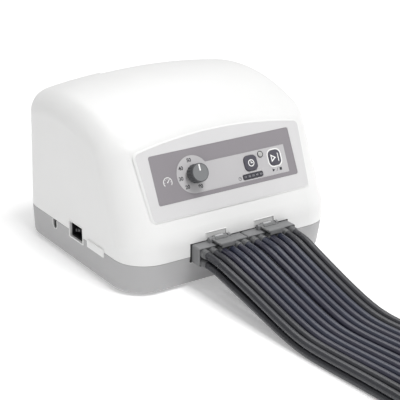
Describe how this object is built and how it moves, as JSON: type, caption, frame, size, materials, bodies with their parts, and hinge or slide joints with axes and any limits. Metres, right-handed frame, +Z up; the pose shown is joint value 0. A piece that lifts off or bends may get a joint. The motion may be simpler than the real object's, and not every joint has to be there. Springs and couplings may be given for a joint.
{
  "type": "compression therapy pump",
  "caption": "Table-top sequential air compression pump with a sloped control panel, a pressure dial, two keys and two flat bundles of air hoses.",
  "frame": {"origin": "on the plane the feet rest on, under the middle of the case", "axes": "+X to the user's right, -Y the front with the control panel and hoses, +Z up"},
  "size_m": [0.2693, 0.7791, 0.1961],
  "materials": {
    "cover_plastic": "fine moulded texture, off-white",
    "base_plastic": "fine moulded texture, mid grey",
    "panel_light": "satin printed film",
    "panel_dark": "satin printed film",
    "plate_light": "satin printed film",
    "knob_plastic": "fluted moulding",
    "white_mark": "printed white",
    "brass_fitting": "turned",
    "bright_steel": "zinc plated",
    "key_plastic": "satin dark keys",
    "lamp_lens": "frosted lens",
    "scale_window": "dark window",
    "inlet_plastic": "black moulding",
    "socket_plastic": "grey moulding",
    "foot_rubber": "soft",
    "board_laminate": "green laminate",
    "transformer_steel": "laminated core",
    "cast_aluminium": "cast",
    "valve_plastic": "natural acetal",
    "motor_steel": "zinc plated",
    "air_tube": "soft tubing",
    "connector_plastic": "grey moulding",
    "latch_plastic": "grey moulding",
    "hose_vinyl": "satin vinyl hose, blue-grey",
    "tie_strap": "woven strap"
  },
  "bodies": {
    "case": {"top_cover": "cover_plastic", "base_tray": "base_plastic", "panel_bezel": "panel_light", "control_overlay": "panel_dark", "dial_plate": "plate_light", "regulator_body": "brass_fitting", "timer_lamp": "lamp_lens", "time_display": "scale_window", "mains_inlet": "inlet_plastic", "outlet_socket_left": "socket_plastic", "outlet_socket_right": "socket_plastic", "rubber_feet": "foot_rubber", "case_screws": "bright_steel", "control_board": "board_laminate", "power_transformer": "transformer_steel", "compressor_body": "cast_aluminium", "compressor_mounts": "foot_rubber", "valve_block": "valve_plastic", "valve_motor": "motor_steel", "inner_tubes": "air_tube", "hose_plug_left": "connector_plastic", "hose_plug_right": "connector_plastic", "garment_connector_left": "connector_plastic", "garment_connector_right": "connector_plastic", "hose_roll_left": "hose_vinyl", "hose_roll_right": "hose_vinyl", "hose_ties": "tie_strap", "hose_left_lower_1": "hose_vinyl", "hose_left_lower_2": "hose_vinyl", "hose_left_lower_3": "hose_vinyl", "hose_left_lower_4": "hose_vinyl", "hose_left_lower_5": "hose_vinyl", "hose_left_lower_6": "hose_vinyl", "hose_left_upper_1": "hose_vinyl", "hose_left_upper_2": "hose_vinyl", "hose_left_upper_3": "hose_vinyl", "hose_left_upper_4": "hose_vinyl", "hose_left_upper_5": "hose_vinyl", "hose_left_upper_6": "hose_vinyl", "hose_right_lower_1": "hose_vinyl", "hose_right_lower_2": "hose_vinyl", "hose_right_lower_3": "hose_vinyl", "hose_right_lower_4": "hose_vinyl", "hose_right_lower_5": "hose_vinyl", "hose_right_lower_6": "hose_vinyl", "hose_right_upper_1": "hose_vinyl", "hose_right_upper_2": "hose_vinyl", "hose_right_upper_3": "hose_vinyl", "hose_right_upper_4": "hose_vinyl", "hose_right_upper_5": "hose_vinyl", "hose_right_upper_6": "hose_vinyl"},
    "knob": {"pressure_knob": "knob_plastic", "knob_pointer": "white_mark", "regulator_shaft": "bright_steel"},
    "time_key": {"time_button": "key_plastic"},
    "start_key": {"start_button": "key_plastic"},
    "left_lever": {"latch_left": "latch_plastic"},
    "right_lever": {"latch_right": "latch_plastic"},
    "rotor": {"valve_rotor": "valve_plastic"},
    "piston": {"compressor_piston": "cast_aluminium"}
  },
  "joints": [
    {"name": "knob_turn", "type": "hinge", "parent": "case", "child": "knob", "pos_m": [-0.0415, -0.10658, 0.12182], "axis": [0, -0.9063, 0.4226], "range_deg": [-150, 150]},
    {"name": "time_press", "type": "slide", "parent": "case", "child": "time_key", "axis": [0, 0.9063, -0.4226], "range_m": [0, 0.001], "stiffness_N_per_m": 900},
    {"name": "start_press", "type": "slide", "parent": "case", "child": "start_key", "axis": [0, 0.9063, -0.4226], "range_m": [0, 0.001], "stiffness_N_per_m": 900},
    {"name": "left_latch_lift", "type": "hinge", "parent": "case", "child": "left_lever", "pos_m": [-0.0296, -0.1346, 0.0557], "axis": [-1, 0, 0], "range_deg": [0, 20], "stiffness_Nm_per_rad": 0.03},
    {"name": "right_latch_lift", "type": "hinge", "parent": "case", "child": "right_lever", "pos_m": [0.034, -0.1346, 0.0557], "axis": [-1, 0, 0], "range_deg": [0, 20], "stiffness_Nm_per_rad": 0.03},
    {"name": "rotor_turn", "type": "hinge", "parent": "case", "child": "rotor", "pos_m": [0.0022, -0.0716, 0.042], "axis": [1, 0, 0], "continuous": true},
    {"name": "piston_stroke", "type": "slide", "parent": "case", "child": "piston", "axis": [1, 0, 0], "range_m": [-0.006, 0.006], "stiffness_N_per_m": 600}
  ]
}
